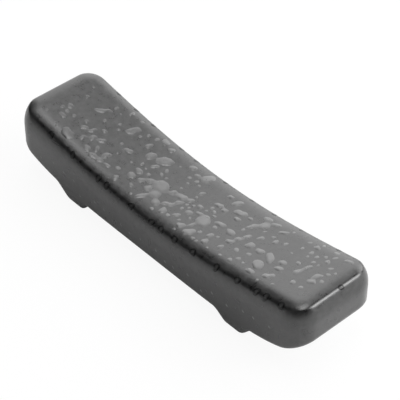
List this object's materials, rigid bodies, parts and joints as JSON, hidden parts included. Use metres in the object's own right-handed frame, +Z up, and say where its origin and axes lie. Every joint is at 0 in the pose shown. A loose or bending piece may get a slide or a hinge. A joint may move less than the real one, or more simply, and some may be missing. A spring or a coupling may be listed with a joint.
{
  "type": "chopstick rest",
  "caption": "Saddle-shaped bar of satin black glazed stoneware on low feet, speckled with raised drops of grey glaze, that keeps chopstick tips off the table.",
  "frame": {"origin": "on the table plane, midway between the soles, at the middle of the length and width", "axes": "+X along the length, +Y across the width, +Z up"},
  "size_m": [0.08, 0.0204, 0.0158],
  "materials": {
    "stoneware": "matte",
    "black_glaze": "satin",
    "grey_glaze": "satin"
  },
  "bodies": {
    "root": {"stoneware_body": "stoneware", "black_glaze": "black_glaze", "saddle_blotches": "grey_glaze", "saddle_drops": "grey_glaze", "edge_beads": "grey_glaze", "side_specks": "grey_glaze"}
  },
  "joints": []
}
